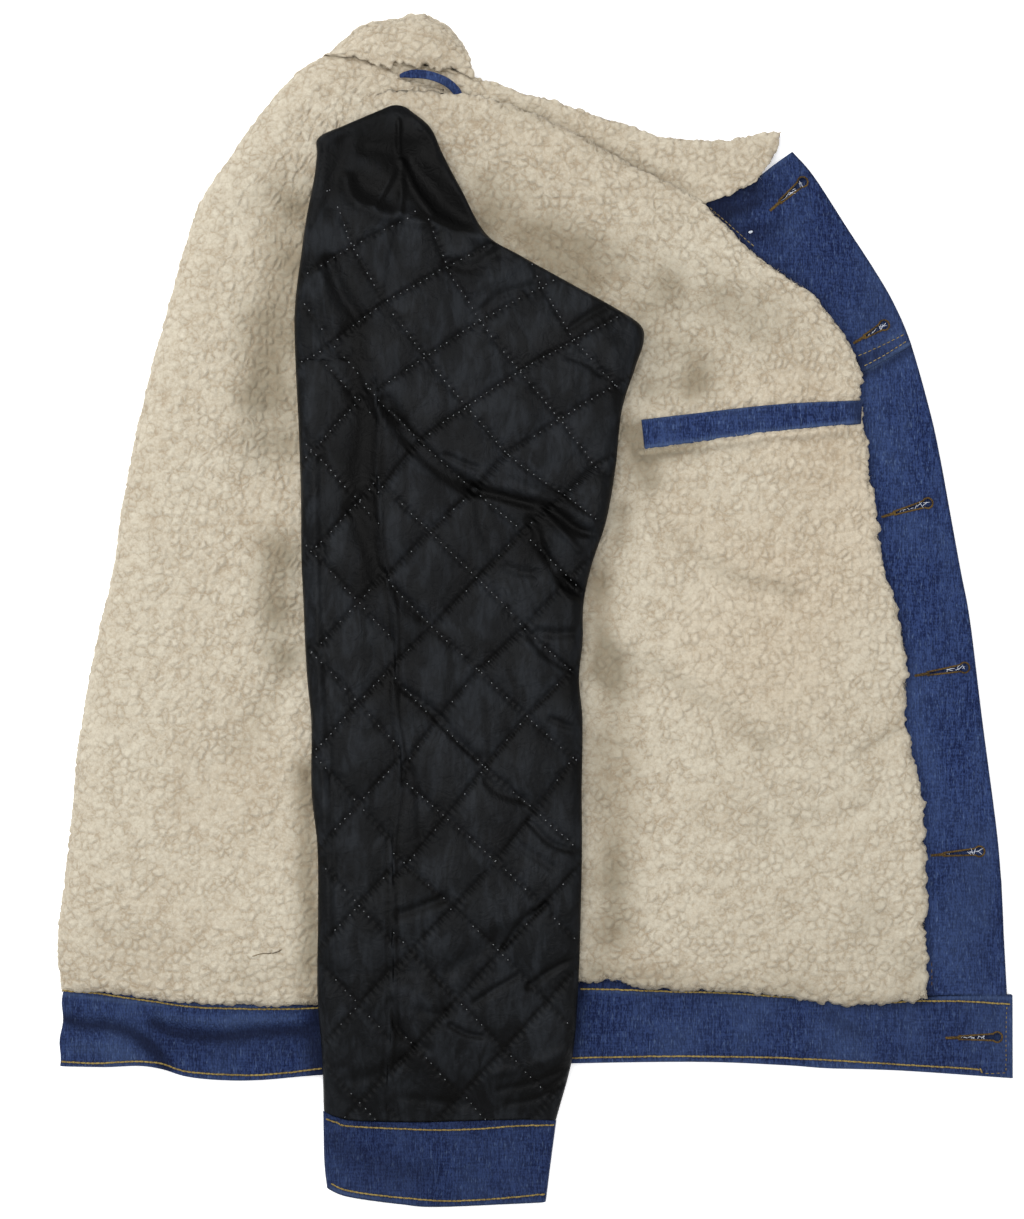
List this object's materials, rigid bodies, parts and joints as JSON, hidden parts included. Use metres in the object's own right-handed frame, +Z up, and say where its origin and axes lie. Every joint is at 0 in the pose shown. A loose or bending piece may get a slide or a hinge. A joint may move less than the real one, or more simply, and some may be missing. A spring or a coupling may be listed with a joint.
{
  "type": "sherpa lined jacket, inside out, folded in half and laid flat",
  "caption": "Sherpa lined denim jacket turned inside out and folded in half on a surface, with one quilted sleeve laid down over its curly lining.",
  "frame": {"origin": "middle of the part's box, on the surface it lies on", "axes": "+X from the centre back fold to the front edge, +Y from the hem to the neck, +Z up off the surface"},
  "size_m": [0.5724, 0.7161, 0.0382],
  "materials": {
    "sherpa": "matte curly pile",
    "denim": "washed indigo twill",
    "quilted_satin": "soft sheen, diamond quilting"
  },
  "bodies": {
    "root": {"hidden_layers": "denim", "lining_back": "sherpa", "lining_front": "sherpa", "facing_yoke": "denim", "facing_front": "denim", "waistband": "denim", "pocket_welt": "denim", "under_collar": "denim", "collar_near": "sherpa", "collar_far": "sherpa", "hang_loop": "denim", "sleeve_lining": "quilted_satin", "sleeve_cuff": "denim"}
  },
  "joints": []
}
